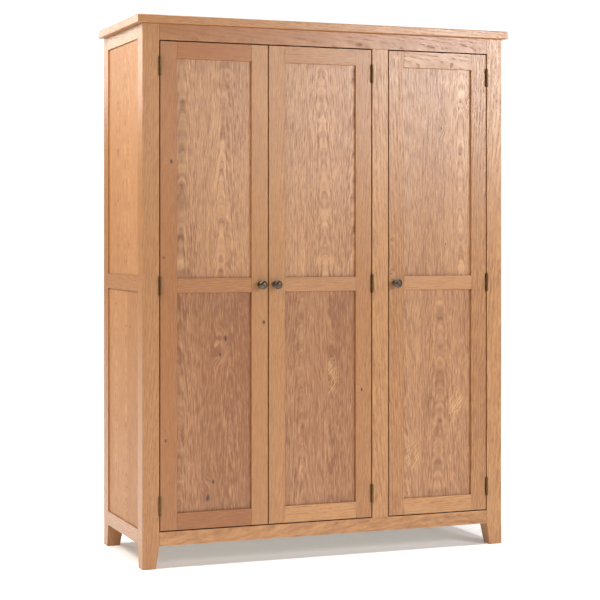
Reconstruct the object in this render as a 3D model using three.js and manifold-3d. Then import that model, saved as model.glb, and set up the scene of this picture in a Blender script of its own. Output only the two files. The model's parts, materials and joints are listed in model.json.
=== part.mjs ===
// Three-door wardrobe in oak: square posts, a face frame, panelled sides, a slab top and inset doors.
// Millimetres. X runs to the right, Y to the back and Z up. The origin is on the floor, under the middle of
// the whole wardrobe with its knobs.
import * as THREE from "three";
import { mergeVertices } from "three/addons/utils/BufferGeometryUtils.js";
import Module from "manifold-3d";

// Overall sizes
const HEIGHT = 1900;
const BODY_WIDTH = 1380;
const BODY_DEPTH = 520;

// Fits between pieces
const FIT = 0.3; // between two pieces that touch
const PANEL_ROOM = 1; // room for a panel to swell at the bottom of its groove
const GROOVE_DEPTH = 10;
const OVERCUT = 1; // how far a cutter stands out of the face that it cuts

// Slab top
const TOP_THICKNESS = 28;
const TOP_SIDE_OVERHANG = 20;
const TOP_FRONT_OVERHANG = 16;
const TOP_EASING = 2.5;
const TOP_EASING_STEPS = 2;

// Posts, which taper on their two inner faces into feet
const POST = 60;
const FOOT_TIP = 48;

// Face frame, flush with the posts
const FRAME_THICKNESS = 24;
const FRONT_CLEARANCE = 78; // floor to the lower edge of the front and back bottom rails
const FRONT_BOTTOM_RAIL = 48;
const FRONT_TOP_RAIL = 56;
const MID_STILE = 62;
const TENON_LENGTH = 20;
const TENON_THICKNESS = 10;
const TENON_SHOULDER = 8;

// Panelled sides
const SIDE_THICKNESS = 22;
const SIDE_CLEARANCE = 81; // floor to the lower edge of the side bottom rails
const SIDE_BOTTOM_RAIL = 50;
const SIDE_MID_RAIL = 52;
const SIDE_TOP_RAIL = 47.5;
const SIDE_PANEL = 10;
const SIDE_PANEL_RECESS = 5;

// Back
const BACK_RAIL_THICKNESS = 22;
const BACK_PANEL = 6;
const BACK_PANEL_SETBACK = 12;

// Inside
const PARTITION = 20;
const SHELF = 18;
const SHELF_SETBACK = 2; // behind the back faces of the front posts
const HAT_SPACE = 294; // between the hat shelf and the slab top
const RIGHT_SHELVES = 3;
const RAIL_RADIUS = 12.5;
const RAIL_FLANGE_RADIUS = 26;
const RAIL_FLANGE_THICKNESS = 5;
const RAIL_DROP = 55; // hat shelf's underside to the rail's axis
const RAIL_SIDES = 24;

// Doors, inset between the posts
const DOOR_THICKNESS = 22;
const DOOR_SETBACK = 1;
const DOOR_GAP = 4;
const DOOR_STILE = 60;
const DOOR_RAIL = 58;
const DOOR_MID_RAIL = 50;
const DOOR_PANEL = 8;
const DOOR_PANEL_RECESS = 9;

// Knobs
const KNOB_PROJECTION = 34;
const KNOB_FROM_EDGE = 26;
const KNOB_HEAD_RADIUS = 15.5;
const KNOB_HEAD_HALF_LENGTH = 9.5;
const KNOB_FLANGE_RADIUS = 14;
const KNOB_FLANGE_THICKNESS = 2.5;
const KNOB_NECK_RADIUS = 6;
const KNOB_FLARE_LENGTH = 7;
const KNOB_CURVE_STEPS = 6;
const KNOB_SIDES = 24;

// Butt hinges, with the barrel proud of the gap and the leaves let into post and door
const HINGE_HEIGHT = 66;
const HINGE_INSET = 52.5; // door's end to the hinge's end
const KNUCKLE_RADIUS = 4;
const KNUCKLE_CLEARANCE = 0.4; // between the barrel and the frame's front face
const KNUCKLE_SIDES = 16;
const LEAF_THICKNESS = 1.6;
const LEAF_DEPTH = 20; // how far a leaf reaches behind the frame's front face

// Finishes
const oak = { color: 0xc89a68, roughness: 0.55, metalness: 0 };
const oakPanel = { color: 0xcf9f6c, roughness: 0.55, metalness: 0 };
const innerBoard = { color: 0xd3ad7e, roughness: 0.65, metalness: 0 };
const bronze = { color: 0x3a2b22, roughness: 0.35, metalness: 0.9 };
const brass = { color: 0x8c6a3a, roughness: 0.4, metalness: 0.9 };
const steel = { color: 0xc4c7ca, roughness: 0.25, metalness: 1 };

// Places that several pieces share
const halfWidth = BODY_WIDTH / 2;
const postInner = halfWidth - POST;
const sideInner = halfWidth - SIDE_THICKNESS;
const front = (KNOB_PROJECTION - DOOR_SETBACK - BODY_DEPTH) / 2;
const back = front + BODY_DEPTH;
const frameBack = front + FRAME_THICKNESS;
const underTop = HEIGHT - TOP_THICKNESS;
const openingBottom = FRONT_CLEARANCE + FRONT_BOTTOM_RAIL;
const openingTop = underTop - FRONT_TOP_RAIL;
const doorWidth = (2 * postInner - MID_STILE - 5 * DOOR_GAP) / 3;
const doorHeight = openingTop - openingBottom - 2 * DOOR_GAP;
const doorFront = front + DOOR_SETBACK;
const doorBottom = openingBottom + DOOR_GAP;
const midStileLeft = -postInner + 2 * doorWidth + 3 * DOOR_GAP;
const midStileRight = midStileLeft + MID_STILE;
const hatShelfUnderside = underTop - HAT_SPACE - SHELF;
const partitionX = [
  (midStileLeft + midStileRight - PARTITION) / 2,
  (midStileLeft + midStileRight + PARTITION) / 2,
];
const backPanelY = [back - BACK_PANEL_SETBACK - BACK_PANEL, back - BACK_PANEL_SETBACK];
const frameTenonY = [
  front + (FRAME_THICKNESS - TENON_THICKNESS) / 2,
  front + (FRAME_THICKNESS + TENON_THICKNESS) / 2,
];
const sideBottomRailTop = SIDE_CLEARANCE + SIDE_BOTTOM_RAIL;
const sideTopRailBottom = underTop - SIDE_TOP_RAIL;
const sideMidRailBottom = (sideBottomRailTop + sideTopRailBottom - SIDE_MID_RAIL) / 2;
const doorMidRailBottom = (doorHeight - DOOR_MID_RAIL) / 2;

// Each door's lower left corner, and the side that its hinges are on.
const doors = [
  { name: "left", x: -postInner + DOOR_GAP, hingeSide: -1 },
  { name: "middle", x: midStileLeft - DOOR_GAP - doorWidth, hingeSide: 1 },
  { name: "right", x: midStileRight + DOOR_GAP, hingeSide: 1 },
];
const [leftDoor, middleDoor, rightDoor] = doors;
// Centres of a door's hinges above its lower edge.
const hingeLevels = [
  HINGE_INSET + HINGE_HEIGHT / 2,
  doorHeight / 2,
  doorHeight - HINGE_INSET - HINGE_HEIGHT / 2,
];

const wasm = await Module();
wasm.setup();

// A closed geometry as a solid that can be joined and cut.
function toSolid(geometry) {
  const bare = geometry.clone();
  bare.deleteAttribute("normal");
  bare.deleteAttribute("uv");
  const merged = mergeVertices(bare);
  return new wasm.Manifold(
    new wasm.Mesh({
      numProp: 3,
      vertProperties: merged.getAttribute("position").array,
      triVerts: new Uint32Array(merged.index.array),
    }),
  );
}

function toGeometry(solid) {
  const { vertProperties, triVerts } = solid.getMesh();
  const shared = new THREE.BufferGeometry();
  shared.setAttribute("position", new THREE.BufferAttribute(new Float32Array(vertProperties), 3));
  shared.setIndex(new THREE.BufferAttribute(new Uint32Array(triVerts), 1));
  const faceted = shared.toNonIndexed();
  faceted.computeVertexNormals();
  return faceted;
}

function join(first, ...others) {
  return toGeometry(others.reduce((solid, other) => solid.add(toSolid(other)), toSolid(first)));
}

function carve(first, ...cutters) {
  return toGeometry(cutters.reduce((solid, cutter) => solid.subtract(toSolid(cutter)), toSolid(first)));
}

// A rectangular block between [low, high] along each axis.
function block(x, y, z) {
  const geometry = new THREE.BoxGeometry(x[1] - x[0], y[1] - y[0], z[1] - z[0]);
  return geometry.translate((x[0] + x[1]) / 2, (y[0] + y[1]) / 2, (z[0] + z[1]) / 2);
}

// A block whose length runs along the axis "x" or "y".
const bar = (axis, along, across, z) => (axis === "x" ? block(along, across, z) : block(across, along, z));

// A stretch measured outwards from the middle, on the left (side -1) or on the right (side 1).
const onSide = (side, [inner, outer]) => (side < 0 ? [-outer, -inner] : [inner, outer]);

// A stretch made longer at both ends, or shorter with a negative amount.
const grown = ([low, high], amount) => [low - amount, high + amount];

const nameOfSide = (side) => (side < 0 ? "left" : "right");

const wardrobe = new THREE.Group();

function addPiece(name, geometry, finish, parent = wardrobe) {
  const mesh = new THREE.Mesh(geometry, new THREE.MeshStandardMaterial(finish));
  mesh.name = name;
  parent.add(mesh);
}

// A rail of a panelled frame. It runs along the axis over the clear span between two stiles, its tongues fill
// their grooves, and it is grooved along each of its edges that holds a panel.
function panelRail(axis, span, thickness, panel, z, { above = false, below = false }) {
  const body = bar(axis, grown(span, -FIT), thickness, z);
  const tongues = bar(axis, grown(span, GROOVE_DEPTH - FIT), panel, z);
  const levels = [];
  if (above) levels.push([z[1] - GROOVE_DEPTH, z[1] + OVERCUT]);
  if (below) levels.push([z[0] - OVERCUT, z[0] + GROOVE_DEPTH]);
  const grooves = levels.map((level) => bar(axis, grown(span, GROOVE_DEPTH), grown(panel, FIT), level));
  return carve(join(body, tongues), ...grooves);
}

// A flat panel that fills the opening span by z and stands in the grooves around it.
function panelBoard(axis, span, panel, z) {
  const reach = GROOVE_DEPTH - PANEL_ROOM;
  return bar(axis, grown(span, reach), panel, grown(z, reach));
}

// A recess in the edge at x for a hinge leaf that reaches back to the depth y[1].
function leafRecess(x, y, centre) {
  return block(
    grown([x, x], LEAF_THICKNESS + FIT),
    y,
    grown([centre, centre], HINGE_HEIGHT / 2 + FIT),
  );
}

// The slab top, with eased edges and a groove below for the back panel.
function topBoard() {
  const halfTop = halfWidth + TOP_SIDE_OVERHANG - TOP_EASING;
  const topY = [front - TOP_FRONT_OVERHANG + TOP_EASING, back - TOP_EASING];
  const outline = new THREE.Shape();
  outline.moveTo(-halfTop, topY[0]);
  outline.lineTo(halfTop, topY[0]);
  outline.lineTo(halfTop, topY[1]);
  outline.lineTo(-halfTop, topY[1]);
  const slab = new THREE.ExtrudeGeometry(outline, {
    depth: TOP_THICKNESS - 2 * TOP_EASING,
    bevelThickness: TOP_EASING,
    bevelSize: TOP_EASING,
    bevelSegments: TOP_EASING_STEPS,
  });
  slab.translate(0, 0, underTop + TOP_EASING);
  const groove = block(
    [-postInner - GROOVE_DEPTH, postInner + GROOVE_DEPTH],
    grown(backPanelY, FIT),
    [underTop - OVERCUT, underTop + GROOVE_DEPTH],
  );
  return carve(slab, groove);
}

// A square post whose two inner faces taper in towards the floor.
function plainPost(side, end) {
  const height = underTop - FIT;
  const geometry = new THREE.BoxGeometry(POST, POST, height, 1, 1, 2);
  const corners = geometry.getAttribute("position");
  const taper = POST - FOOT_TIP;
  const taperHeight = Math.min(FRONT_CLEARANCE, SIDE_CLEARANCE);
  for (let i = 0; i < corners.count; i += 1) {
    const level = corners.getZ(i);
    if (level === 0) corners.setZ(i, taperHeight - height / 2);
    if (level < 0 && corners.getX(i) * side < 0) corners.setX(i, corners.getX(i) + side * taper);
    if (level < 0 && corners.getY(i) * end < 0) corners.setY(i, corners.getY(i) + end * taper);
  }
  const y = end < 0 ? front + POST / 2 : back - POST / 2;
  return geometry.translate(side * (halfWidth - POST / 2), y, height / 2);
}

// The groove in a post that holds the tongues and panels of the side.
function sideGroove(side, end) {
  const face = end < 0 ? front + POST : back - POST;
  const z = [SIDE_CLEARANCE - FIT, underTop + OVERCUT];
  return block(grown(sidePanelX(side), FIT), grown([face, face], GROOVE_DEPTH), z);
}

const sidePanelX = (side) =>
  onSide(side, [halfWidth - SIDE_PANEL_RECESS - SIDE_PANEL, halfWidth - SIDE_PANEL_RECESS]);

// The height of the tenons at the ends of a face-frame rail.
const tenonZ = (bottom, height) => [bottom + TENON_SHOULDER, bottom + height - TENON_SHOULDER];

function frontPost(side) {
  const door = side < 0 ? leftDoor : rightDoor;
  const mortiseX = onSide(side, [postInner - OVERCUT, postInner + TENON_LENGTH]);
  const mortiseY = grown(frameTenonY, FIT);
  return carve(
    plainPost(side, -1),
    sideGroove(side, -1),
    block(mortiseX, mortiseY, grown(tenonZ(FRONT_CLEARANCE, FRONT_BOTTOM_RAIL), FIT)),
    block(mortiseX, mortiseY, grown(tenonZ(openingTop, FRONT_TOP_RAIL), FIT)),
    ...frameLeafRecesses(door),
  );
}

function backPost(side) {
  const grooveX = onSide(side, [postInner - OVERCUT, postInner + GROOVE_DEPTH]);
  const grooveZ = [FRONT_CLEARANCE - FIT, underTop + OVERCUT];
  return carve(plainPost(side, 1), sideGroove(side, 1), block(grooveX, grown(backPanelY, FIT), grooveZ));
}

// The edge of the frame that a door hangs from.
const hangingEdge = (door) => (door.hingeSide < 0 ? door.x - DOOR_GAP : door.x + doorWidth + DOOR_GAP);

function frameLeafRecesses(door) {
  const y = [front - OVERCUT, front + LEAF_DEPTH + FIT];
  return hingeLevels.map((level) => leafRecess(hangingEdge(door), y, doorBottom + level));
}

// The rail between the front posts, with a mortise for the mid stile in the edge at stileEdge.
function frontRail(bottom, height, stileEdge) {
  const body = block(grown([-postInner, postInner], -FIT), [front, frameBack], [bottom, bottom + height]);
  const reach = TENON_LENGTH - FIT;
  const tenons = block(grown([-postInner, postInner], reach), frameTenonY, tenonZ(bottom, height));
  const mortiseX = grown([midStileLeft, midStileRight], FIT - TENON_SHOULDER);
  const mortiseZ = grown([stileEdge, stileEdge], TENON_LENGTH);
  return carve(join(body, tenons), block(mortiseX, grown(frameTenonY, FIT), mortiseZ));
}

function midStile() {
  const opening = [openingBottom, openingTop];
  const x = [midStileLeft, midStileRight];
  const body = block(x, [front, frameBack], grown(opening, -FIT));
  const tenons = block(grown(x, -TENON_SHOULDER), frameTenonY, grown(opening, TENON_LENGTH - FIT));
  return carve(join(body, tenons), ...frameLeafRecesses(middleDoor));
}

function addSide(side) {
  const name = nameOfSide(side);
  const span = [front + POST, back - POST];
  const thickness = onSide(side, [sideInner, halfWidth]);
  const panel = sidePanelX(side);
  const midRail = [sideMidRailBottom, sideMidRailBottom + SIDE_MID_RAIL];
  const rail = (z, edges) => panelRail("y", span, thickness, panel, z, edges);
  addPiece(`side_bottom_rail_${name}`, rail([SIDE_CLEARANCE, sideBottomRailTop], { above: true }), oak);
  addPiece(`side_mid_rail_${name}`, rail(midRail, { above: true, below: true }), oak);
  addPiece(`side_top_rail_${name}`, rail([sideTopRailBottom, underTop - FIT], { below: true }), oak);
  const lower = [sideBottomRailTop, midRail[0]];
  const upper = [midRail[1], sideTopRailBottom];
  addPiece(`side_panel_lower_${name}`, panelBoard("y", span, panel, lower), oakPanel);
  addPiece(`side_panel_upper_${name}`, panelBoard("y", span, panel, upper), oakPanel);
}

// The bottom rail of the back, tongued into the posts, with a groove for the back panel.
function backRail() {
  const thickness = [back - BACK_RAIL_THICKNESS, back];
  const z = [FRONT_CLEARANCE, openingBottom];
  return panelRail("x", [-postInner, postInner], thickness, backPanelY, z, { above: true });
}

const postCutout = (side, y) => block(onSide(side, [postInner - FIT, halfWidth]), y, [0, HEIGHT]);
const frontPostY = [front - OVERCUT, front + POST + FIT];
const backPostY = [back - POST - FIT, back + OVERCUT];

// The floor of the wardrobe, level with the top of the bottom rails and notched round the posts.
function floorBoard() {
  const board = block(
    grown([-sideInner, sideInner], -FIT),
    [frameBack + FIT, back - BACK_RAIL_THICKNESS - FIT],
    [openingBottom - SHELF, openingBottom],
  );
  const cutouts = [-1, 1].flatMap((side) => [postCutout(side, frontPostY), postCutout(side, backPostY)]);
  return carve(board, ...cutouts);
}

// A shelf from the side to the partition, behind the front post and notched round the back post.
function shelfBoard(side, underside) {
  const x = side < 0 ? [-sideInner, partitionX[0]] : [partitionX[1], sideInner];
  const y = [front + POST + SHELF_SETBACK, backPanelY[0] - FIT];
  const board = block(grown(x, -FIT), y, [underside, underside + SHELF]);
  return carve(board, postCutout(side, backPostY));
}

// The round rail that clothes hang from, with a flange at each end.
function hangingRail() {
  const start = -sidePanelX(1)[0] + FIT;
  const length = partitionX[0] - FIT - start;
  const profile = [
    [0, 0],
    [RAIL_FLANGE_RADIUS, 0],
    [RAIL_FLANGE_RADIUS, RAIL_FLANGE_THICKNESS],
    [RAIL_RADIUS, RAIL_FLANGE_THICKNESS],
    [RAIL_RADIUS, length - RAIL_FLANGE_THICKNESS],
    [RAIL_FLANGE_RADIUS, length - RAIL_FLANGE_THICKNESS],
    [RAIL_FLANGE_RADIUS, length],
    [0, length],
  ].map(([radius, along]) => new THREE.Vector2(radius, along));
  const rail = new THREE.LatheGeometry(profile, RAIL_SIDES).rotateZ(-Math.PI / 2);
  return rail.translate(start, (frameBack + backPanelY[0]) / 2, hatShelfUnderside - RAIL_DROP);
}

// A hinge's barrel, proud of the frame, and the leaf that is let into the frame's edge.
function hinge(door, level) {
  const edge = hangingEdge(door);
  const barrelX = edge - door.hingeSide * (DOOR_GAP / 2);
  const barrelY = front - KNUCKLE_RADIUS - KNUCKLE_CLEARANCE;
  const z = doorBottom + level;
  const barrel = new THREE.CylinderGeometry(KNUCKLE_RADIUS, KNUCKLE_RADIUS, HINGE_HEIGHT, KNUCKLE_SIDES);
  barrel.rotateX(Math.PI / 2).translate(barrelX, barrelY, z);
  const leafX = door.hingeSide < 0 ? [edge - LEAF_THICKNESS, edge] : [edge, edge + LEAF_THICKNESS];
  const leaf = block(leafX, [barrelY, front + LEAF_DEPTH], grown([z, z], HINGE_HEIGHT / 2));
  return join(barrel, leaf);
}

// A turned knob: a flange on the door, a flared neck and a round head.
function knob() {
  const profile = [new THREE.Vector2(0, 0), new THREE.Vector2(KNOB_FLANGE_RADIUS, 0)];
  const flareStart = KNOB_FLANGE_RADIUS - KNOB_NECK_RADIUS;
  for (let i = 0; i <= KNOB_CURVE_STEPS; i += 1) {
    const angle = ((Math.PI / 2) * i) / KNOB_CURVE_STEPS;
    const radius = KNOB_FLANGE_RADIUS - flareStart * Math.sin(angle);
    const along = KNOB_FLANGE_THICKNESS + KNOB_FLARE_LENGTH * (1 - Math.cos(angle));
    profile.push(new THREE.Vector2(radius, along));
  }
  const length = KNOB_PROJECTION - FIT;
  const headCentre = length - KNOB_HEAD_HALF_LENGTH;
  const neckAngle = Math.acos(KNOB_NECK_RADIUS / KNOB_HEAD_RADIUS);
  for (let i = 0; i <= 2 * KNOB_CURVE_STEPS; i += 1) {
    const angle = -neckAngle + ((Math.PI / 2 + neckAngle) * i) / (2 * KNOB_CURVE_STEPS);
    const radius = i < 2 * KNOB_CURVE_STEPS ? KNOB_HEAD_RADIUS * Math.cos(angle) : 0;
    profile.push(new THREE.Vector2(radius, headCentre + KNOB_HEAD_HALF_LENGTH * Math.sin(angle)));
  }
  return new THREE.LatheGeometry(profile, KNOB_SIDES).rotateX(Math.PI);
}

// A door in its own frame: X from its left edge, Y from its front face, Z from its lower edge.
function addDoor({ name, x, hingeSide }) {
  const door = new THREE.Group();
  door.position.set(x, doorFront, doorBottom);
  wardrobe.add(door);

  const panel = [DOOR_PANEL_RECESS, DOOR_PANEL_RECESS + DOOR_PANEL];
  const span = [DOOR_STILE, doorWidth - DOOR_STILE];
  for (const side of [-1, 1]) {
    const stileX = side < 0 ? [0, span[0]] : [span[1], doorWidth];
    const innerEdge = side < 0 ? span[0] : span[1];
    const grooveX = grown([innerEdge, innerEdge], GROOVE_DEPTH);
    const cuts = [block(grooveX, grown(panel, FIT), grown([0, doorHeight], OVERCUT))];
    if (side === hingeSide) {
      const edge = side < 0 ? 0 : doorWidth;
      const leafY = [-OVERCUT, LEAF_DEPTH - DOOR_SETBACK + FIT];
      cuts.push(...hingeLevels.map((level) => leafRecess(edge, leafY, level)));
    }
    const stile = carve(block(stileX, [0, DOOR_THICKNESS], [0, doorHeight]), ...cuts);
    addPiece(`door_${name}_stile_${nameOfSide(side)}`, stile, oak, door);
  }

  const midRail = [doorMidRailBottom, doorMidRailBottom + DOOR_MID_RAIL];
  const lower = [DOOR_RAIL, midRail[0]];
  const upper = [midRail[1], doorHeight - DOOR_RAIL];
  const rail = (z, edges) => panelRail("x", span, [0, DOOR_THICKNESS], panel, z, edges);
  addPiece(`door_${name}_rail_bottom`, rail([0, DOOR_RAIL], { above: true }), oak, door);
  addPiece(`door_${name}_rail_middle`, rail(midRail, { above: true, below: true }), oak, door);
  addPiece(`door_${name}_rail_top`, rail([upper[1], doorHeight], { below: true }), oak, door);
  addPiece(`door_${name}_panel_lower`, panelBoard("x", span, panel, lower), oakPanel, door);
  addPiece(`door_${name}_panel_upper`, panelBoard("x", span, panel, upper), oakPanel, door);

  const knobX = hingeSide < 0 ? doorWidth - KNOB_FROM_EDGE : KNOB_FROM_EDGE;
  addPiece(`door_${name}_knob`, knob().translate(knobX, -FIT, doorHeight / 2), bronze, door);
}

addPiece("top_board", topBoard(), oak);
for (const side of [-1, 1]) {
  addPiece(`post_front_${nameOfSide(side)}`, frontPost(side), oak);
  addPiece(`post_back_${nameOfSide(side)}`, backPost(side), oak);
  addSide(side);
}
addPiece("front_top_rail", frontRail(openingTop, FRONT_TOP_RAIL - FIT, openingTop), oak);
addPiece("front_bottom_rail", frontRail(FRONT_CLEARANCE, FRONT_BOTTOM_RAIL, openingBottom), oak);
addPiece("front_mid_stile", midStile(), oak);
addPiece("back_bottom_rail", backRail(), oak);
const backPanel = panelBoard("x", [-postInner, postInner], backPanelY, [openingBottom, underTop]);
addPiece("back_panel", backPanel, innerBoard);

addPiece("floor_board", floorBoard(), innerBoard);
const partitionY = [frameBack + FIT, backPanelY[0] - FIT];
addPiece("partition", block(partitionX, partitionY, grown([openingBottom, underTop], -FIT)), innerBoard);
addPiece("hat_shelf", shelfBoard(-1, hatShelfUnderside), innerBoard);
addPiece("hanging_rail", hangingRail(), steel);
const shelfPitch = (underTop - openingBottom + SHELF) / (RIGHT_SHELVES + 1);
for (let i = 1; i <= RIGHT_SHELVES; i += 1) {
  const underside = openingBottom + i * shelfPitch - SHELF;
  addPiece(`shelf_right_${i}`, shelfBoard(1, underside), innerBoard);
}

for (const door of doors) {
  addDoor(door);
  hingeLevels.forEach((level, i) => addPiece(`hinge_${door.name}_${i + 1}`, hinge(door, level), brass));
}

export default wardrobe;
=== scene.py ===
"""The looks of a three-door oak wardrobe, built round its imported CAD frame.

Metres. X runs to the right, Y to the back and Z up, and the doors face -Y.
"""

import json
import math
import random
from collections import namedtuple

import bmesh
import bpy
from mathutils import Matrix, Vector

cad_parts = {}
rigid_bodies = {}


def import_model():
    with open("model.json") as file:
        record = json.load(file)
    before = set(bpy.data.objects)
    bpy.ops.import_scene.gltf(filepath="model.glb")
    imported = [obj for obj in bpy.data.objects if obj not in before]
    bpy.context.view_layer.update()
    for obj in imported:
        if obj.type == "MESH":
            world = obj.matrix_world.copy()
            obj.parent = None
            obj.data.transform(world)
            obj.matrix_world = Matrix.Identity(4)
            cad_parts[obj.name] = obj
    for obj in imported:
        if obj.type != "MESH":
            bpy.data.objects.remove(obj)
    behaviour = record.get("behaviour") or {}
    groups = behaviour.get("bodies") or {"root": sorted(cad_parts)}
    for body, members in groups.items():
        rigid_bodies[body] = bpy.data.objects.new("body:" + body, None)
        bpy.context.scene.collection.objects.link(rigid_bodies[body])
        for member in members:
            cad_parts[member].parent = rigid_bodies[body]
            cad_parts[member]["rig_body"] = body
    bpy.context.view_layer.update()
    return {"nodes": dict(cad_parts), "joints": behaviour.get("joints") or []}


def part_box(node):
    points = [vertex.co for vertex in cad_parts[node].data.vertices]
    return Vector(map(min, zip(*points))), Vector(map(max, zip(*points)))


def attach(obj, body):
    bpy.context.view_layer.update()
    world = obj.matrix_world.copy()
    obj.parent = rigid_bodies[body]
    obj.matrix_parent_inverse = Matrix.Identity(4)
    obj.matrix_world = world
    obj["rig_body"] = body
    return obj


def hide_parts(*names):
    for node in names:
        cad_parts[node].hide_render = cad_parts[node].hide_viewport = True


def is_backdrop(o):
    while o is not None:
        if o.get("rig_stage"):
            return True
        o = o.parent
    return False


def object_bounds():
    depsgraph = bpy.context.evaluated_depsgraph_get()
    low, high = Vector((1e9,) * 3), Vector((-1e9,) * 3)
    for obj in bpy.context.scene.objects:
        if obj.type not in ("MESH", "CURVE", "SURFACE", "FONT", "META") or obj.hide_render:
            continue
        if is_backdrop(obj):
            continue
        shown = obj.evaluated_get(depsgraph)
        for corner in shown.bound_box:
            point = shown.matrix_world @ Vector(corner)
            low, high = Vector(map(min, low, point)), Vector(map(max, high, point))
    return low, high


ROOT = "carcass"
MM = 0.001

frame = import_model()
nodes = frame["nodes"]
scene = bpy.context.scene

X, Y, Z = 0, 1, 2
DOORS = ("left", "middle", "right")
HINGES_PER_DOOR = 3
carcass_middle_y = (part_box("post_front_left")[0].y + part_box("post_back_right")[1].y) / 2

# ---------------------------------------------------------------- camera, at the photograph's viewing angle
IMAGE = 600
CAMERA_FROM_CARCASS = Vector((-2.250, -5.7595, 1.1528))  # from the floor under the carcass's middle
CAMERA_YAW = math.radians(-21.24)
FOCAL_PIXELS = 1666.1
HORIZON_ROW = 233.0  # the camera is level, so its horizon sits above the middle of the image
SENSOR = 36.0
FARTHEST = 60.0


def make_camera():
    data = bpy.data.cameras.new("camera")
    data.sensor_width = SENSOR
    data.lens = FOCAL_PIXELS / IMAGE * SENSOR
    data.shift_y = (HORIZON_ROW - IMAGE / 2) / IMAGE
    data.clip_end = FARTHEST
    camera = bpy.data.objects.new("camera", data)
    camera.location = CAMERA_FROM_CARCASS + Vector((0, carcass_middle_y, 0))
    camera.rotation_euler = (math.pi / 2, 0, CAMERA_YAW)
    scene.collection.objects.link(camera)
    scene.camera = camera


# ---------------------------------------------------------------- small helpers for node trees
class Tree:
    """A material's node tree, with one short call for each kind of node."""

    def __init__(self, name):
        self.material = bpy.data.materials.new(name)
        self.material.use_nodes = True
        self.nodes = self.material.node_tree.nodes
        self.links = self.material.node_tree.links
        self.nodes.clear()
        self.shader = self.nodes.new("ShaderNodeBsdfPrincipled")
        output = self.nodes.new("ShaderNodeOutputMaterial")
        self.links.new(self.shader.outputs[0], output.inputs[0])

    def put(self, socket, value):
        if isinstance(value, bpy.types.NodeSocket):
            self.links.new(value, socket)
        elif value is not None:
            socket.default_value = value

    def attribute(self, name):
        node = self.nodes.new("ShaderNodeAttribute")
        node.attribute_name = name
        return node

    def object_place(self):
        return self.nodes.new("ShaderNodeTexCoord").outputs["Object"]

    def maths(self, operation, first, second=None, third=None, clamp=False):
        node = self.nodes.new("ShaderNodeMath")
        node.operation = operation
        node.use_clamp = clamp
        for socket, value in zip(node.inputs, (first, second, third)):
            self.put(socket, value)
        return node.outputs[0]

    def vector(self, operation, first, second):
        node = self.nodes.new("ShaderNodeVectorMath")
        node.operation = operation
        self.put(node.inputs[0], first)
        self.put(node.inputs[1], second)
        return node.outputs[0]

    def split(self, vector):
        node = self.nodes.new("ShaderNodeSeparateXYZ")
        self.put(node.inputs[0], vector)
        return node.outputs

    def combine(self, x, y, z):
        node = self.nodes.new("ShaderNodeCombineXYZ")
        for socket, value in zip(node.inputs, (x, y, z)):
            self.put(socket, value)
        return node.outputs[0]

    def noise(self, vector, scale=1.0, detail=2.0, roughness=0.5, distortion=0.0):
        node = self.nodes.new("ShaderNodeTexNoise")
        self.put(node.inputs["Vector"], vector)
        node.inputs["Scale"].default_value = scale
        node.inputs["Detail"].default_value = detail
        node.inputs["Roughness"].default_value = roughness
        node.inputs["Distortion"].default_value = distortion
        return node.outputs[0]

    def spread(self, value, low, high, to_low=0.0, to_high=1.0, smooth=True):
        node = self.nodes.new("ShaderNodeMapRange")
        node.interpolation_type = "SMOOTHSTEP" if smooth else "LINEAR"
        self.put(node.inputs["Value"], value)
        node.inputs["From Min"].default_value = low
        node.inputs["From Max"].default_value = high
        node.inputs["To Min"].default_value = to_low
        node.inputs["To Max"].default_value = to_high
        return node.outputs[0]

    def mix(self, share, first, second, blend="MIX"):
        node = self.nodes.new("ShaderNodeMix")
        node.data_type = "RGBA"
        node.blend_type = blend
        self.put(node.inputs[0], share)
        self.put(node.inputs[6], first)
        self.put(node.inputs[7], second)
        return node.outputs[2]

    def bump(self, height, strength, distance):
        node = self.nodes.new("ShaderNodeBump")
        node.inputs["Strength"].default_value = strength
        node.inputs["Distance"].default_value = distance
        self.put(node.inputs["Height"], height)
        return node.outputs[0]

    def finish(self, colour, roughness, metallic=0.0, normal=None, specular=0.5):
        self.put(self.shader.inputs["Base Color"], colour)
        self.put(self.shader.inputs["Roughness"], roughness)
        self.put(self.shader.inputs["Metallic"], metallic)
        self.put(self.shader.inputs["Normal"], normal)
        self.shader.inputs["Specular IOR Level"].default_value = specular
        return self.material


def srgb(text, alpha=1.0):
    """A colour written as rrggbb, as the linear values that shaders take."""
    channels = [int(text[i : i + 2], 16) / 255 for i in (0, 2, 4)]
    linear = [c / 12.92 if c <= 0.04045 else ((c + 0.055) / 1.055) ** 2.4 for c in channels]
    return (*linear, alpha)


# ---------------------------------------------------------------- oak
# A board carries two attributes. "grain" is a place in the tree: how far along the grain, and how far across
# it in each direction from the heart. "board" is the stave's own seed, tone and warmth.
PORE_COLOUR = "643b1d"
WARM_COLOUR = "a9642c"
KNOT_COLOUR = "3f2413"
FLECK_COLOUR = "d9ad78"
TAPER = 0.026  # how much nearer the heart a ring comes for each length along the tree

# Noise through the tree: (scale along, scale across, offset, detail). The offsets keep the noises apart.
WANDER = (1.1, 3.0, 3.1, 1.0)
RIPPLE = (0.7, 8.0, 7.7, 1.0)
CURL = (3.0, 26.0, 4.8, 1.0)
FLUTTER = (38.0, 130.0, 11.3, 2.0)
BANDS = (0.7, 20.0, 5.5, 2.0)
CLOUD = (2.0, 4.0, 1.4, 1.0)
# The first noise shifts the heart to the side, and the others shift the rings: metres over its full range.
WANDER_REACH, RIPPLE_REACH, CURL_REACH, FLUTTER_REACH = 0.06, 0.018, 0.0052, 0.0012

# A ring's dark part fades out by the first share of its width, and comes back from the second on.
RING_FADE, RING_RISE = 0.45, 0.75

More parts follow.
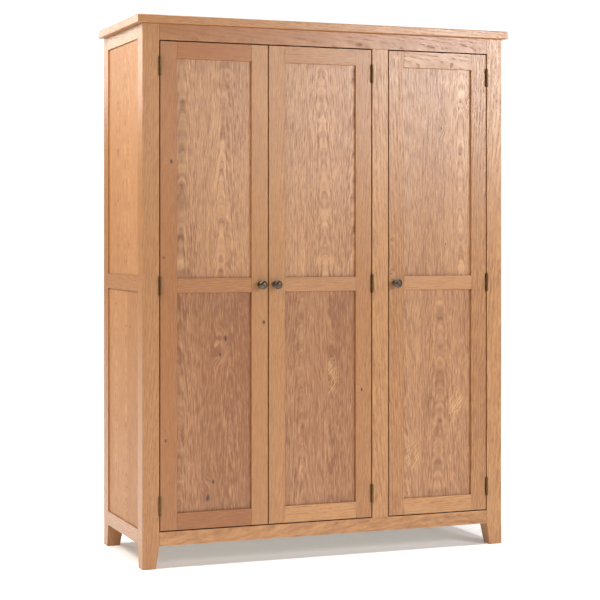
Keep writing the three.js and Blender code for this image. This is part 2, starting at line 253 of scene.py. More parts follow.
# Noise that follows the rings, in the same terms.
PORES = (55.0, 1500.0, 2.2, 1.0)
DASHES = (17.0, 240.0, 6.4, 2.0)
TICKS = (34.0, 560.0, 3.7, 1.0)
STREAKS = (4.0, 110.0, 9.1, 2.0)
STROKE_SEED_SCALE = 37.0

# How much of a colour each feature brings.
BASE_SHARE, RING_SHARE = 0.36, 0.20
DASH_SHARE, TICK_SHARE, STREAK_SHARE, BAND_SHARE, CLOUD_SHARE = 1.05, 1.3, 0.25, 0.25, 0.35
PORE_SHARE, FLECK_SHARE, KNOT_SHARE = 0.40, 0.55, 0.9

# How much each feature roughens the lacquer, and how deep it is sunk in it.
PORE_GLOSS, DASH_GLOSS = 0.2, 0.30
PORE_DEPTH, RING_DEPTH, DASH_DEPTH = -0.9, -0.3, -1.6
BUMP_STRENGTH, BUMP_DISTANCE = 0.5, 0.30 * MM

# Knots and flecks. Lengths are shares of the spot's radius.
KNOT_SQUEEZE, FLECK_SQUEEZE = 0.6, 0.5  # a spot is longer along the grain than across it
KNOT_BEND, KNOT_BEND_ENDS = 2.2, 6  # how far a knot pushes the rings aside, and how far out that is felt
KNOT_RAGGED, KNOT_CORE, KNOT_EDGE = 1.3, 0.3, 1.15
FLECK_CORE = 0.5
FLECK_SLANT, FLECK_SCALE = -1.4, (210.0, 34.0, 34.0)
FAR_OFF = 1000.0


def oak_material(name, pale, deep, ring_spacing=3.8 * MM, figure=1.0, contrast=1.0, gloss=0.32,
                 specular=0.62, knots=(), flecks=()):
    """Sawn oak under satin lacquer. The rings round the heart show as straight lines where a board is cut on
    the quarter and as arches where it is cut on the flat. A knot or a group of flecks is (along, across,
    radius, the stave's seed) in the tree's measure."""
    tree = Tree(name)
    along, across, inwards = tree.split(tree.attribute("grain").outputs["Vector"])
    seed, tone, warmth = tree.split(tree.attribute("board").outputs["Vector"])
    place = tree.combine(along, across, tree.maths("ADD", inwards, seed))

    def noise_at(point, scales, offset, detail):
        scaled = tree.vector("MULTIPLY", point, scales)
        return tree.noise(tree.vector("ADD", scaled, (offset, offset, offset)), detail=detail)

    def swing(along_scale, across_scale, offset, detail):
        value = noise_at(place, (along_scale, across_scale, across_scale), offset, detail)
        return tree.maths("SUBTRACT", value, 0.5)

    flutter = swing(*FLUTTER)
    side = tree.maths("MULTIPLY_ADD", swing(*WANDER), WANDER_REACH * figure, across)
    squares = tree.maths("ADD", tree.maths("MULTIPLY", side, side), tree.maths("MULTIPLY", inwards, inwards))
    distance = tree.maths("MULTIPLY_ADD", along, TAPER, tree.maths("SQRT", squares))
    distance = tree.maths("MULTIPLY_ADD", swing(*RIPPLE), RIPPLE_REACH * figure, distance)
    distance = tree.maths("MULTIPLY_ADD", swing(*CURL), CURL_REACH * figure, distance)
    distance = tree.maths("MULTIPLY_ADD", flutter, FLUTTER_REACH, distance)

    def away_from(spot_along, spot_across, spot_seed, squeeze):
        """How far a point is from a spot. It is far off on every other stave, which has another seed."""
        elsewhere = tree.maths("ABSOLUTE", tree.maths("SUBTRACT", seed, spot_seed))
        offset = tree.vector("SUBTRACT", tree.combine(along, across, 0.0), (spot_along, spot_across, 0.0))
        length = tree.nodes.new("ShaderNodeVectorMath")
        length.operation = "LENGTH"
        tree.put(length.inputs[0], tree.vector("MULTIPLY", offset, (squeeze, 1.0, 0.0)))
        return tree.maths("MULTIPLY_ADD", elsewhere, FAR_OFF, length.outputs["Value"])

    knot = None
    for spot_along, spot_across, radius, spot_seed in knots:
        away = away_from(spot_along, spot_across, spot_seed, KNOT_SQUEEZE)
        bend = tree.spread(away, radius, radius * KNOT_BEND_ENDS, 1.0, 0.0)
        distance = tree.maths("MULTIPLY_ADD", bend, radius * KNOT_BEND, distance)
        ragged = tree.maths("MULTIPLY_ADD", flutter, radius * KNOT_RAGGED, away)
        core = tree.spread(ragged, radius * KNOT_CORE, radius * KNOT_EDGE, 1.0, 0.0)
        knot = core if knot is None else tree.maths("MAXIMUM", knot, core)

    phase = tree.maths("FRACT", tree.maths("DIVIDE", distance, ring_spacing))
    fading = tree.spread(phase, 0.0, RING_FADE, 1.0, 0.0)
    ring = tree.maths("MAXIMUM", fading, tree.spread(phase, RING_RISE, 1.0, 0.0, 1.0))
    # Strokes follow the rings: their place across is the distance from the heart.
    flow = tree.combine(along, distance, seed)

    def stroke(along_scale, across_scale, offset, detail):
        return noise_at(flow, (along_scale, across_scale, STROKE_SEED_SCALE), offset, detail)

    crowded = tree.maths("MULTIPLY_ADD", ring, 0.85, 0.15)
    pores = tree.maths("MULTIPLY", tree.spread(stroke(*PORES), 0.52, 0.66), crowded)
    dashes, ticks, streaks = (tree.maths("SUBTRACT", stroke(*each), 0.5) for each in (DASHES, TICKS, STREAKS))

    share = tree.maths("MULTIPLY_ADD", ring, RING_SHARE * contrast, BASE_SHARE)
    for swinging, amount in ((dashes, DASH_SHARE), (ticks, TICK_SHARE), (streaks, STREAK_SHARE),
                             (swing(*BANDS), BAND_SHARE), (swing(*CLOUD), CLOUD_SHARE)):
        share = tree.maths("MULTIPLY_ADD", swinging, amount * contrast, share)
    share = tree.maths("ADD", share, tone, clamp=True)
    colour = tree.mix(share, srgb(pale), srgb(deep))
    colour = tree.mix(tree.maths("MULTIPLY", pores, PORE_SHARE), colour, srgb(PORE_COLOUR))
    colour = tree.mix(warmth, colour, srgb(WARM_COLOUR))
    for spot_along, spot_across, radius, spot_seed in flecks:
        away = away_from(spot_along, spot_across, spot_seed, FLECK_SQUEEZE)
        slanted = tree.combine(tree.maths("MULTIPLY_ADD", across, FLECK_SLANT, along), across, inwards)
        dash = tree.noise(tree.vector("MULTIPLY", slanted, FLECK_SCALE), detail=1.0)
        inside = tree.spread(away, radius * FLECK_CORE, radius, 1.0, 0.0)
        group = tree.maths("MULTIPLY", inside, tree.spread(dash, 0.50, 0.60))
        colour = tree.mix(tree.maths("MULTIPLY", group, FLECK_SHARE), colour, srgb(FLECK_COLOUR))
    if knot is not None:
        colour = tree.mix(tree.maths("MULTIPLY", knot, KNOT_SHARE), colour, srgb(KNOT_COLOUR))

    roughness = tree.maths("MULTIPLY_ADD", pores, PORE_GLOSS, gloss)
    roughness = tree.maths("MULTIPLY_ADD", dashes, DASH_GLOSS * contrast, roughness)
    height = tree.maths("MULTIPLY_ADD", pores, PORE_DEPTH, tree.maths("MULTIPLY", ring, RING_DEPTH))
    height = tree.maths("MULTIPLY_ADD", dashes, DASH_DEPTH * contrast, height)
    normal = tree.bump(height, BUMP_STRENGTH, BUMP_DISTANCE)
    return tree.finish(colour, roughness, normal=normal, specular=specular)


def grain_axes(name):
    """The axes along the grain, across the board's face and through it."""
    if name == "top_board" or name == "floor_board" or "shelf" in name:
        return X, Y, Z
    if name.startswith("side_") and "rail" in name:
        return Y, Z, X
    if "rail" in name:
        return X, Z, Y
    if name.startswith("side_panel") or name == "partition":
        return Z, Y, X
    return Z, X, Y


# How each kind of board was sawn: the staves it is glued from, the heart's distance behind the face and
# how far to the side it lies.
SAWN = {
    "panel": dict(staves=3, behind=(0.035, 0.080), beside=(0.010, 0.085)),
    "wide": dict(staves=6, behind=(0.050, 0.120), beside=(0.050, 0.120)),
    "strip": dict(staves=1, behind=(0.060, 0.120), beside=(0.020, 0.110)),
}
STAVE_UNEVEN = 0.16  # how far a glue line strays, as a share of a stave
STAVE_TONE = 0.09
WELD = 2e-6
FLAT = math.radians(0.5)
SHARP = math.radians(25)
Stave = namedtuple("Stave", "end heart_across heart_in seed tone")


def saw(name, along, across, through, kind):
    """The staves of a board, each with its far edge and the place of the tree's heart."""
    draw = random.Random(name)
    low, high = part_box(name)
    rule = SAWN[kind]
    width = high[across] - low[across]
    cuts = [low[across] + width * (i + draw.uniform(-STAVE_UNEVEN, STAVE_UNEVEN)) / rule["staves"]
            for i in range(1, rule["staves"])] + [high[across]]
    staves = []
    start = low[across]
    for cut in cuts:
        side = draw.choice((-1, 1))
        heart_across = (start + cut) / 2 + side * draw.uniform(*rule["beside"])
        # The heart lies behind the face that shows, which is inwards on the front, the sides and the top.
        inwards = -1 if (low[through] + high[through]) / 2 > 0 and through != Y else 1
        heart_in = (low[through] + high[through]) / 2 + inwards * draw.uniform(*rule["behind"])
        seed, tone = draw.uniform(0, 2), draw.uniform(-STAVE_TONE, STAVE_TONE)
        staves.append(Stave(cut, heart_across, heart_in, seed, tone))
        start = cut
    return staves


def board(name, body, kind, material, ease, tone, warmth):
    """A wooden piece in the place of its CAD node: the same shape with its sharp corners eased."""
    along, across, through = grain_axes(name)
    staves = saw(name, along, across, through, kind)
    mesh = bmesh.new()
    mesh.from_mesh(nodes[name].data)
    bmesh.ops.remove_doubles(mesh, verts=mesh.verts, dist=WELD)
    bmesh.ops.dissolve_limit(mesh, angle_limit=FLAT, verts=mesh.verts, edges=mesh.edges)
    sharp = [e for e in mesh.edges if e.is_manifold and e.is_convex and e.calc_face_angle(0) > SHARP]
    bmesh.ops.bevel(mesh, geom=sharp, offset=ease, segments=2, profile=0.5, affect="EDGES",
                    clamp_overlap=True)
    for stave in staves[:-1]:
        normal = Vector((0, 0, 0))
        normal[across] = 1
        everything = mesh.verts[:] + mesh.edges[:] + mesh.faces[:]
        bmesh.ops.bisect_plane(mesh, geom=everything, plane_co=normal * stave.end, plane_no=normal, dist=WELD)
    grain = mesh.loops.layers.float_vector.new("grain")
    own = mesh.faces.layers.float_vector.new("board")
    for face in mesh.faces:
        middle = face.calc_center_median()[across]
        stave = next((s for s in staves if middle <= s.end), staves[-1])
        face[own] = Vector((stave.seed, stave.tone + tone, warmth))
        for loop in face.loops:
            place = loop.vert.co
            loop[grain] = Vector((place[along], place[across] - stave.heart_across,
                                  place[through] - stave.heart_in))
    data = bpy.data.meshes.new(f"{name}_oak")
    mesh.to_mesh(data)
    mesh.free()
    data.materials.append(material)
    piece = bpy.data.objects.new(f"{name}_oak", data)
    scene.collection.objects.link(piece)
    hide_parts(name)
    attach(piece, body)


# ---------------------------------------------------------------- oak boards
LOOKS = {
    "oak_smooth": dict(pale="bd8957", deep="8a552b", ring_spacing=4.2 * MM, figure=0.45, contrast=0.50),
    "oak_figured": dict(pale="bd8957", deep="8a552b", ring_spacing=6.0 * MM, figure=1.3, contrast=0.95),
    "oak_panel": dict(pale="c7966a", deep="85522e", figure=0.85, contrast=1.0),
    "oak_side": dict(pale="c7966a", deep="85522e", figure=0.5, contrast=0.5, gloss=0.42, specular=0.1),
    "oak_inner": dict(pale="d2a877", deep="a57546", ring_spacing=6.0 * MM, figure=0.5, contrast=0.55,
                      gloss=0.55),
}
oaks = {name: oak_material(name, **look) for name, look in LOOKS.items()}


def spots(name, kind, places):
    """Knots or flecks given by their place on the object, (across, along, radius) in mm, as the board's tree
    measures them. Each goes to the stave that it falls on."""
    along, across, through = grain_axes(name)
    staves = saw(name, along, across, through, kind)
    found = []
    for place_across, place_along, radius in places:
        stave = next((s for s in staves if place_across * MM <= s.end), staves[-1])
        found.append((place_along * MM, place_across * MM - stave.heart_across, radius * MM, stave.seed))
    return found


KNOTS = {
    "door_left_stile_left": [(-586, 1398, 6), (-614, 1068, 5), (-607, 439, 5)],
    "door_left_stile_right": [(-248, 840, 6)],
    "door_left_panel_lower": [(-388, 787, 8), (-408, 729, 5), (-433, 288, 5), (-452, 231, 9)],
    "door_middle_panel_lower": [(10, 713, 3)],
    "door_middle_stile_right": [(126, 591, 4)],
    "door_right_panel_upper": [(465, 1112, 3), (551, 1632, 4), (449, 1536, 4)],
    "door_right_stile_left": [(241, 1130, 3), (241, 1005, 3)],
    "side_panel_lower_left": [(-69, 822, 4), (-16, 212, 5)],
}
FLECKS = {
    "door_middle_panel_lower": [(6, 630, 42)],
    "door_right_panel_lower": [(329, 351, 40), (503, 516, 46)],
}
# How much darker (+) or lighter (-), and how much more orange, some boards are than the others.
TONES = {
    "front_mid_stile": (-0.16, 0.0), "front_bottom_rail": (-0.10, 0.0), "post_front_right": (-0.12, 0.0),
    "door_left_rail_top": (0.36, 0.40), "door_left_rail_bottom": (0.52, 0.20),
    "door_left_rail_middle": (0.12, 0.12), "door_left_stile_left": (0.26, 0.24),
    "post_front_left": (0.04, 0.0),
    "door_left_panel_lower": (0.40, 0.08), "door_middle_panel_lower": (0.28, 0.06),
    "door_right_panel_lower": (0.06, 0.03),
    "door_left_stile_right": (-0.06, 0.0), "door_middle_rail_bottom": (-0.36, 0.0),
    "door_right_rail_bottom": (-0.36, 0.0), "door_right_stile_left": (0.14, 0.0),
    "door_middle_stile_right": (0.08, 0.05), "door_right_rail_middle": (-0.12, 0.0),
    "front_top_rail": (0.20, 0.20), "top_board": (-0.06, 0.0),
}

FIGURED = {"front_mid_stile", "front_bottom_rail", "post_front_right", "door_right_stile_left",
           "door_middle_rail_bottom", "door_right_rail_bottom", "door_right_stile_right"}
INNER = {"floor_board", "partition", "hat_shelf", "back_panel"}
METAL_NODES = ("knob", "hinge", "hanging_rail")
BOARD_EASE, WELL_WORN_EASE = 0.6 * MM, 1.3 * MM


def looks_of(name):
    """(slot, kind, material) for a wooden node."""
    if name in INNER or name.startswith("shelf_"):
        return "inner_board", "wide", oaks["oak_inner"]
    if "panel" in name:
        slot, kind, look = "oak_panel", "panel", "oak_panel" if name.startswith("door") else "oak_side"
    else:
        slot, kind = "oak_frame", "wide" if name == "top_board" else "strip"
        look = "oak_figured" if name in FIGURED else "oak_smooth"
    knots = spots(name, kind, KNOTS.get(name, ()))
    flecks = spots(name, kind, FLECKS.get(name, ()))
    if knots or flecks:
        return slot, kind, oak_material(f"oak_{name}", knots=knots, flecks=flecks, **LOOKS[look])
    return slot, kind, oaks[look]


def add_boards():
    for name, node in nodes.items():
        if any(word in name for word in METAL_NODES):
            continue
        slot, kind, material = looks_of(name)
        tone, warmth = TONES.get(name, (0.0, 0.0))
        ease = WELL_WORN_EASE if name.startswith("post_") or name == "top_board" else BOARD_EASE
        board(name, node["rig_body"], kind, material, ease, tone, warmth)


# ---------------------------------------------------------------- metals
SMOOTH_BELOW = math.radians(32)
METAL_BUMP, METAL_BUMP_DISTANCE = 0.12, 0.15 * MM


def worn_metal(name, dark, bright, rubbed, roughness, metallic=1.0):
    """An antiqued metal: mottled, scratched, and rubbed bright along its edges."""
    tree = Tree(name)
    place = tree.object_place()
    mottle = tree.noise(place, scale=260, detail=4.0, roughness=0.65)
    grime = tree.noise(place, scale=70, detail=2.0)
    scratches = tree.noise(tree.vector("MULTIPLY", place, (1.0, 1.0, 9.0)), scale=900, detail=2.0)
    stain = tree.maths("MULTIPLY_ADD", grime, 0.4, tree.maths("MULTIPLY", mottle, 0.6))
    share = tree.spread(stain, 0.36, 0.66)
    colour = tree.mix(share, srgb(dark), srgb(bright))
    geometry = tree.nodes.new("ShaderNodeNewGeometry")
    edge = tree.spread(geometry.outputs["Pointiness"], 0.505, 0.56)
    colour = tree.mix(tree.maths("MULTIPLY", edge, 0.6), colour, srgb(rubbed))
    shine = tree.maths("MULTIPLY_ADD", mottle, 0.22, roughness - 0.08)
    shine = tree.maths("MULTIPLY_ADD", edge, -0.08, shine)
    height = tree.maths("MULTIPLY_ADD", scratches, 0.3, mottle)
    return tree.finish(colour, shine, metallic, tree.bump(height, METAL_BUMP, METAL_BUMP_DISTANCE))


bronze = worn_metal("bronze", "453a31", "74675b", "a89a8a", 0.42)
brass = worn_metal("antique_brass", "2c2015", "4c3922", "7f6440", 0.42)
steel = worn_metal("satin_steel", "9c9fa2", "c6c9cc", "e0e2e4", 0.26)
dark_plastic = worn_metal("catch_plastic", "2b1d14", "3c2a1e", "5a4433", 0.48, 0.0)


def add_piece(name, mesh, material, body, replaced=(), smooth=True):
    data = bpy.data.meshes.new(name)
    bmesh.ops.recalc_face_normals(mesh, faces=mesh.faces)
    for face in mesh.faces:
        face.smooth = smooth
    if smooth:
        for edge in mesh.edges:
            edge.smooth = not (edge.is_manifold and edge.calc_face_angle(0) > SMOOTH_BELOW)
    mesh.to_mesh(data)
    mesh.free()
    data.materials.append(material)
    piece = bpy.data.objects.new(name, data)
    scene.collection.objects.link(piece)
    if replaced:
        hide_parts(*replaced)
    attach(piece, body)


def turn(mesh, profile, origin, axis, sides=40):
    """Adds the closed solid of (along, radius) points turned round the axis from the origin."""
    axis = Vector(axis).normalized()
    first = axis.orthogonal().normalized()
    second = axis.cross(first)
    rings = []
    for distance, radius in profile:
        centre = Vector(origin) + axis * distance
        if radius < 1e-7:
            rings.append([mesh.verts.new(centre)])
            continue
        rings.append([
            mesh.verts.new(centre + (first * math.cos(a) + second * math.sin(a)) * radius)
            for a in (2 * math.pi * i / sides for i in range(sides))
        ])
    for lower, upper in zip(rings, rings[1:]):
        for i in range(sides):
            j = (i + 1) % sides
            if len(lower) == 1:
                mesh.faces.new((lower[0], upper[j], upper[i]))
            elif len(upper) == 1:
                mesh.faces.new((lower[i], lower[j], upper[0]))
            else:
                mesh.faces.new((lower[i], lower[j], upper[j], upper[i]))


def slab(mesh, low, high, ease=0.0):
    """Adds a block between two opposite corners, in either order, with its edges eased."""
    made = bmesh.ops.create_cube(mesh, size=1)["verts"]
    corners = list(zip(low, high))
    low, high = Vector([min(pair) for pair in corners]), Vector([max(pair) for pair in corners])
    for vert in made:
        for axis in (X, Y, Z):
            vert.co[axis] = low[axis] if vert.co[axis] < 0 else high[axis]
    if ease:
        edges = list({e for v in made for e in v.link_edges})
        bmesh.ops.bevel(mesh, geom=edges, offset=ease, segments=2, profile=0.5, affect="EDGES")


def screw(mesh, face_point, out, radius):
    """Adds a raised countersunk screw head with a round pit in its top, standing out of a face."""
    turn(mesh, [(0.0, 0.0), (0.0, radius), (0.25 * MM, radius * 0.96), (0.62 * MM, radius * 0.72),
                (0.80 * MM, radius * 0.42), (0.42 * MM, radius * 0.30), (0.30 * MM, 0.0)],
         face_point, out, sides=20)


# ---------------------------------------------------------------- knobs
KNOB_RIM = 0.8 * MM
KNOB_HEAD, KNOB_FLANGE_THICK, KNOB_FLARE = 0.282, 0.074, 0.208  # shares of the knob's length
KNOB_FLANGE, KNOB_NECK = 0.903, 0.387  # shares of its greatest radius
KNOB_STEPS = 14


def knob(door):
    node = f"door_{door}_knob"
    low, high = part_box(node)
    length, widest = high.y - low.y, (high.x - low.x) / 2
    head_half = length * KNOB_HEAD
    head_at = length - head_half
    flange, flange_thick = widest * KNOB_FLANGE, length * KNOB_FLANGE_THICK
    neck, flare = widest * KNOB_NECK, length * KNOB_FLARE
    profile = [(0.0, 0.0), (0.0, flange - KNOB_RIM * 0.4), (KNOB_RIM * 0.4, flange),
               (flange_thick - KNOB_RIM, flange), (flange_thick - KNOB_RIM * 0.3, flange - KNOB_RIM * 0.3),
               (flange_thick, flange - KNOB_RIM)]
    for i in range(1, KNOB_STEPS + 1):
        angle = math.pi / 2 * i / KNOB_STEPS
        profile.append((flange_thick + flare * (1 - math.cos(angle)),
                        flange - KNOB_RIM - (flange - KNOB_RIM - neck) * math.sin(angle)))
    start = math.acos(neck / widest)
    for i in range(2 * KNOB_STEPS + 1):
        angle = -start + (math.pi / 2 + start) * i / (2 * KNOB_STEPS)
        radius = 0.0 if i == 2 * KNOB_STEPS else widest * math.cos(angle)
        profile.append((head_at + head_half * math.sin(angle), radius))
    mesh = bmesh.new()
    turn(mesh, profile, ((low.x + high.x) / 2, high.y, (low.z + high.z) / 2), (0, -1, 0), sides=48)
    add_piece(f"knob_{door}", mesh, bronze, f"door_{door}", [node])


# ---------------------------------------------------------------- hinges
KNUCKLES = 5
KNUCKLE_GAP = 0.25 * MM
KNUCKLE_RIM = 0.35 * MM
LEAF_ROOM = 0.15 * MM
LEAF_EASE = 0.3 * MM
LEAF_PROUD = 0.1 * MM
WEB_OVERLAP = 0.2 * MM  # how far the strip from a knuckle runs into its leaf
LEAF_SCREWS = ((0.17, 0.42), (0.5, 0.62), (0.83, 0.42))  # shares of the leaf's height and of its depth
SMALL_SCREW = 2.4 * MM


def hinge(door, number):
    """One leaf with knuckles 1, 3 and 5 on the frame, and one with 2 and 4 on the door."""
    node = f"hinge_{door}_{number}"
    joint = next(j for j in frame["joints"] if j["child"] == f"door_{door}")
    low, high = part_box(node)
    centre = Vector((joint["pos_m"][0], joint["pos_m"][1], (low.z + high.z) / 2))
    radius = centre.y - low.y
    door_side = 1 if door == "left" else -1
    leaf_outer = low.x if door_side > 0 else high.x
    frame_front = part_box("front_mid_stile")[0].y
    door_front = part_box(f"door_{door}_stile_left")[0].y
    gap_half = abs(centre.x - (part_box(f"door_{door}_stile_left")[0].x if door_side > 0
                               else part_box(f"door_{door}_stile_right")[1].x))
    thickness = abs(leaf_outer - centre.x) - gap_half
    frame_mesh, door_mesh = bmesh.new(), bmesh.new()
    frame_leaf, door_leaf = (frame_mesh, -door_side, frame_front), (door_mesh, door_side, door_front)

    def faces_of(side):
        """Where the leaf on one side begins and ends, going out from the joint."""
        return centre.x + side * gap_half, centre.x + side * (gap_half + thickness)

    back = high.y - LEAF_ROOM
    for mesh, side, face in (frame_leaf, door_leaf):
        inner, outer = faces_of(side)
        slab(mesh, (inner, face - LEAF_PROUD, low.z), (outer, back, high.z), LEAF_EASE)
        for up, deep in LEAF_SCREWS:
            spot = (inner, face + (back - face) * deep, low.z + (high.z - low.z) * up)
            screw(mesh, spot, (-side, 0, 0), SMALL_SCREW)
    pitch = (high.z - low.z) / KNUCKLES
    for i in range(KNUCKLES):
        mesh, side, face = frame_leaf if i % 2 == 0 else door_leaf
        bottom, top = low.z + i * pitch + KNUCKLE_GAP / 2, low.z + (i + 1) * pitch - KNUCKLE_GAP / 2
        turn(mesh, [(0, 0), (0, radius - KNUCKLE_RIM), (KNUCKLE_RIM, radius),
                    (top - bottom - KNUCKLE_RIM, radius), (top - bottom, radius - KNUCKLE_RIM),
                    (top - bottom, 0)],
             (centre.x, centre.y, bottom), (0, 0, 1), sides=28)
        inner, outer = faces_of(side)
        slab(mesh, (inner, centre.y, bottom), (outer, face + WEB_OVERLAP, top))
    add_piece(f"{node}_frame_leaf", frame_mesh, brass, ROOT, [node])
    add_piece(f"{node}_door_leaf", door_mesh, brass, f"door_{door}")


# ---------------------------------------------------------------- inside fittings
TUBE_SHARE = 0.48  # the tube's radius as a share of its flange's
FLANGE_THICK, CUP = 5 * MM, 16 * MM
FLANGE_SCREW, FLANGE_SCREW_ANGLES = 2.6 * MM, (90, 210, 330)
CLEAT_HIGH, CLEAT_DEEP, CLEAT_EASE = 22 * MM, 14 * MM, 1.0 * MM
CLEAT_FROM_FRONT, CLEAT_FROM_BACK = 40 * MM, 70 * MM
CLEAT_HEART_UP, CLEAT_HEART_IN = 0.08, 0.05
CATCH_HALF, CATCH_DEEP, CATCH_UP, CATCH_DOWN, CATCH_EASE = 23 * MM, 14 * MM, 12 * MM, 16 * MM, 1.5 * MM
CATCH_ROOM = 0.2 * MM
CATCH_SCREW_FROM_MIDDLE, CATCH_SCREW_UP = 15 * MM, 2 * MM
STRIKE_HALF, STRIKE_THICK, STRIKE_EASE = 18 * MM, 0.7 * MM, 0.25 * MM
STRIKE_LOW, STRIKE_HIGH = 14 * MM, 3 * MM  # how far below the door's top the strike ends and begins


def hanging_rail():
    low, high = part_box("hanging_rail")
    axis_y, axis_z = (low.y + high.y) / 2, (low.z + high.z) / 2
    flange, tube = (high.z - low.z) / 2, (high.z - low.z) / 2 * TUBE_SHARE
    length = high.x - low.x
    half = [(0, 0), (0, flange - 0.8 * MM), (0.8 * MM, flange), (FLANGE_THICK - 1.2 * MM, flange),
            (FLANGE_THICK, flange - 1.5 * MM), (FLANGE_THICK, tube + 3.2 * MM),
            (CUP - 0.6 * MM, tube + 2.6 * MM), (CUP, tube + 2.0 * MM), (CUP, tube)]
    mesh = bmesh.new()
    turn(mesh, half + [(length - a, r) for a, r in reversed(half)], (low.x, axis_y, axis_z), (1, 0, 0), 48)
    reach = (flange + tube + 3 * MM) / 2
    for end, out in ((low.x + FLANGE_THICK, 1), (high.x - FLANGE_THICK, -1)):
        for angle in map(math.radians, FLANGE_SCREW_ANGLES):
            spot = (end, axis_y + reach * math.cos(angle), axis_z + reach * math.sin(angle))
            screw(mesh, spot, (out, 0, 0), FLANGE_SCREW)
    add_piece("rail_tube", mesh, steel, ROOT, ["hanging_rail"])


def shelf_cleats():
    """Oak battens that carry each shelf at its two ends."""
    for shelf in ("hat_shelf", "shelf_right_1", "shelf_right_2", "shelf_right_3"):
        low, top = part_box(shelf)
        for end, x, way in (("left", low.x, 1), ("right", top.x, -1)):
            mesh = bmesh.new()
            slab(mesh, (x, low.y + CLEAT_FROM_FRONT, low.z - CLEAT_HIGH),
                 (x + way * CLEAT_DEEP, top.y - CLEAT_FROM_BACK, low.z), CLEAT_EASE)
            grain = mesh.loops.layers.float_vector.new("grain")
            own = mesh.faces.layers.float_vector.new("board")
            draw = random.Random(f"{shelf}_{end}")
            seed, tone = draw.uniform(0, 2), draw.uniform(-0.1, 0.1)
            for face in mesh.faces:
                face[own] = Vector((seed, tone, 0))
                for loop in face.loops:
                    place = loop.vert.co
                    loop[grain] = Vector((place.y, place.z - low.z + CLEAT_HEART_UP,
                                          place.x - x + CLEAT_HEART_IN))
            add_piece(f"{shelf}_cleat_{end}", mesh, oaks["oak_inner"], ROOT,
                      smooth=False)


def catches():
    """A magnetic catch behind the top rail for each door, and its strike plate on the door."""
    behind_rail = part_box("front_top_rail")[1].y
    for door in DOORS:
        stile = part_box(f"door_{door}_stile_{'right' if door == 'left' else 'left'}")
        x = (stile[0].x + stile[1].x) / 2
        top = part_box(f"door_{door}_rail_top")[1].z
        back = stile[1].y
        mesh = bmesh.new()
        slab(mesh, (x - CATCH_HALF, behind_rail + CATCH_ROOM, top - CATCH_DOWN),
             (x + CATCH_HALF, behind_rail + CATCH_DEEP, top + CATCH_UP), CATCH_EASE)
        for way in (-1, 1):
            spot = (x + way * CATCH_SCREW_FROM_MIDDLE, behind_rail + CATCH_DEEP, top + CATCH_SCREW_UP)
            screw(mesh, spot, (0, 1, 0), SMALL_SCREW)
        add_piece(f"catch_{door}", mesh, dark_plastic, ROOT)
        mesh = bmesh.new()
        slab(mesh, (x - STRIKE_HALF, back, top - STRIKE_LOW),
             (x + STRIKE_HALF, back + STRIKE_THICK, top - STRIKE_HIGH), STRIKE_EASE)
        add_piece(f"strike_{door}", mesh, steel, f"door_{door}")


# ---------------------------------------------------------------- floor and light
BACKDROP, WALLS = 1.06, 0.10  # how bright the studio looks, and how bright it shines on things
OVERHEAD = 2.6
FLOOR_GLOW = 0.20  # keeps the floor white and its shadow light
FLOOR_SIZE = 14.0
SUN_ANGLE = math.radians(18)
UNDER_LIGHT = 70 * MM  # height of a weak light that softens the shadow under the wardrobe
# name, place, what it points at, width and height, watts and colour
SOFTBOXES = (
    ("main", (2.79, -4.14, 2.50), (0.55, -0.2, 1.7), (1.3, 1.3), 106, (1.0, 1.0, 1.0)),
    ("broad", (1.70, -4.84, 1.97), (-0.1, -0.2, 1.6), (1.8, 1.0), 20, (1.0, 1.0, 1.0)),
    ("left", (-2.6, -0.4, 3.6), (-0.7, 0.0, 1.9), (1.4, 1.4), 125, (1.0, 0.93, 0.84)),
    ("left_back", (-2.3, 3.6, 2.8), (-0.7, 0.0, 1.6), (2.4, 1.8), 46, (1.0, 0.97, 0.93)),
)


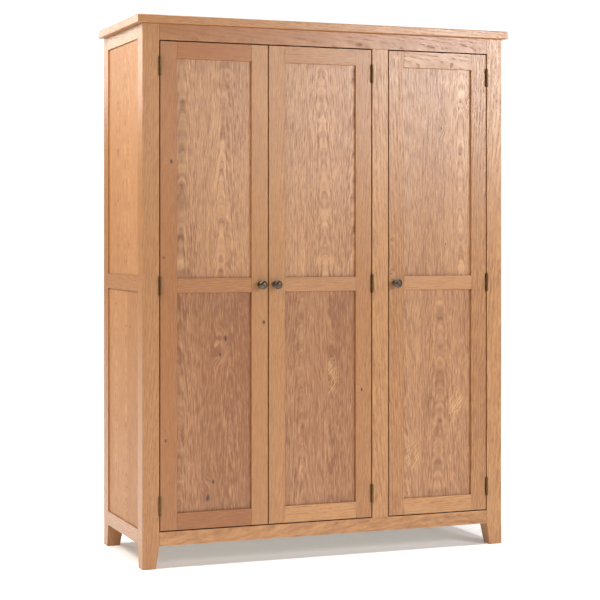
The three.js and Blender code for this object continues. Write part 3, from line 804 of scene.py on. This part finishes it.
def floor():
    mesh = bmesh.new()
    bmesh.ops.create_grid(mesh, x_segments=8, y_segments=8, size=FLOOR_SIZE)
    data = bpy.data.meshes.new("floor")
    mesh.to_mesh(data)
    mesh.free()
    tree = Tree("floor")
    cloud = tree.noise(tree.object_place(), scale=1.5, detail=2.0)
    tone = tree.mix(cloud, (0.90, 0.90, 0.90, 1), (0.93, 0.93, 0.93, 1))
    material = tree.finish(tone, tree.maths("MULTIPLY_ADD", cloud, 0.1, 0.8), specular=0.1)
    tree.shader.inputs["Emission Color"].default_value = (1, 1, 1, 1)
    tree.shader.inputs["Emission Strength"].default_value = FLOOR_GLOW
    data.materials.append(material)
    piece = bpy.data.objects.new("floor", data)
    scene.collection.objects.link(piece)
    piece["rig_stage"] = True


def softbox(name, place, target, size, power, colour):
    data = bpy.data.lights.new(name, "AREA")
    data.shape = "RECTANGLE"
    data.size, data.size_y = size
    data.energy = power
    data.color = colour
    light = bpy.data.objects.new(name, data)
    light.location = place
    light.rotation_euler = (Vector(target) - Vector(place)).to_track_quat("-Z", "Y").to_euler()
    light.visible_camera = False
    scene.collection.objects.link(light)


def light_scene():
    """A white studio: lights up on the right and on the left, and an even light from above."""
    world = bpy.data.worlds.new("studio")
    world.use_nodes = True
    tree = world.node_tree
    background = tree.nodes["Background"]
    background.inputs["Color"].default_value = (1, 1, 1, 1)
    strength = tree.nodes.new("ShaderNodeMix")
    tree.links.new(tree.nodes.new("ShaderNodeLightPath").outputs["Is Camera Ray"], strength.inputs[0])
    strength.inputs[2].default_value = WALLS
    strength.inputs[3].default_value = BACKDROP
    tree.links.new(strength.outputs[0], background.inputs["Strength"])
    scene.world = world
    for each in SOFTBOXES:
        softbox(*each)
    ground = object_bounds()[0].z
    softbox("under", (0, 0, ground + UNDER_LIGHT), (0, 0, ground), (1.25, 0.42), 0.20, (0.15, 0.75, 1.0))
    sun = bpy.data.lights.new("overhead", "SUN")
    sun.energy, sun.angle = OVERHEAD, SUN_ANGLE
    scene.collection.objects.link(bpy.data.objects.new("overhead", sun))
    scene.view_settings.view_transform = "Standard"


add_boards()
for door in DOORS:
    knob(door)
    for number in range(1, HINGES_PER_DOOR + 1):
        hinge(door, number)
hanging_rail()
shelf_cleats()
catches()
floor()
light_scene()
make_camera()
